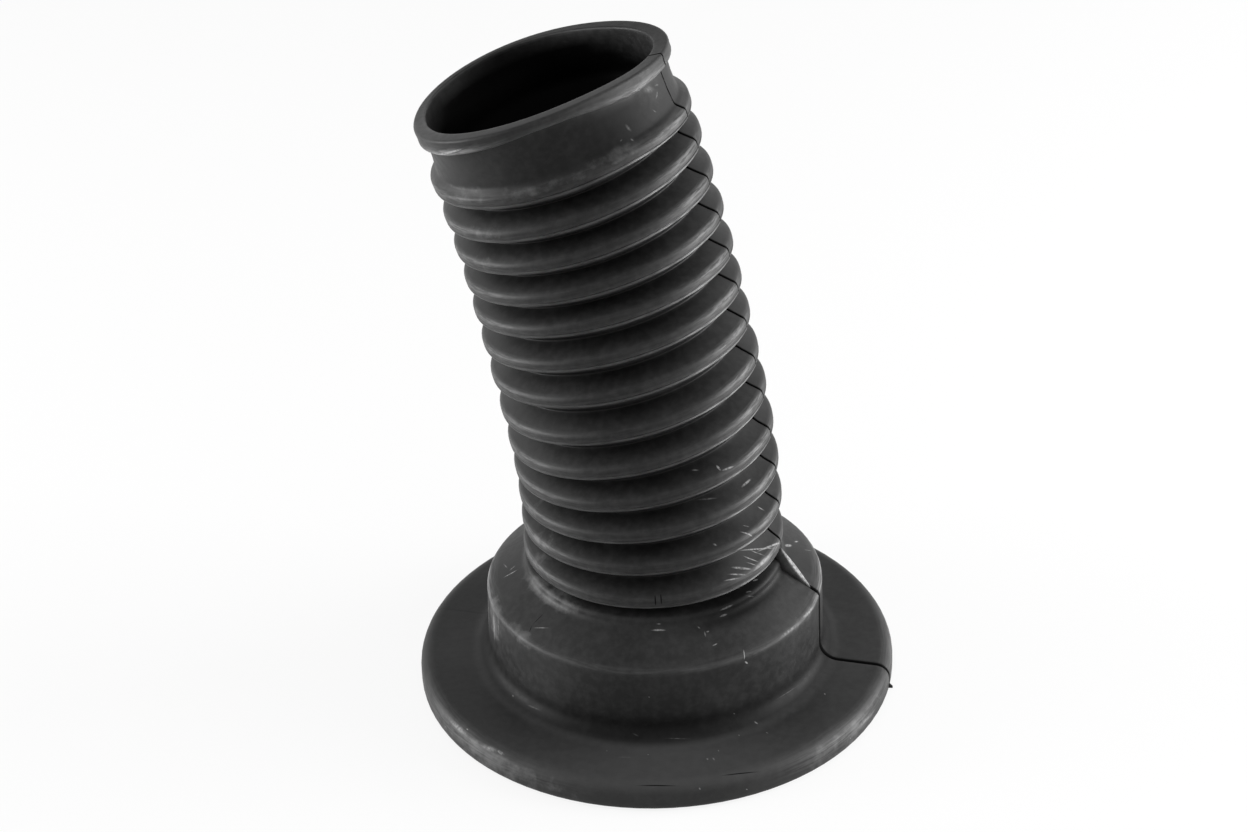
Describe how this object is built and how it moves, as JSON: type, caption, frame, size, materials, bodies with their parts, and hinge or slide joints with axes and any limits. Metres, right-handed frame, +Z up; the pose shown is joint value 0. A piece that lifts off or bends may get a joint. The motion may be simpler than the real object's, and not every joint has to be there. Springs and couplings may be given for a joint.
{
  "type": "bellows boot",
  "caption": "Flanged rubber boot with a hollow hub, a long folded tube that leans to one side, and a plain collar with a lip bead round its open mouth.",
  "frame": {"origin": "centre of the flange's flat underside", "axes": "+Z up from the flange towards the mouth; the tube leans towards -X"},
  "size_m": [0.14, 0.14, 0.1946],
  "materials": {
    "rubber": "matt moulded black rubber"
  },
  "bodies": {
    "root": {"bellows_boot": "rubber"}
  },
  "joints": []
}
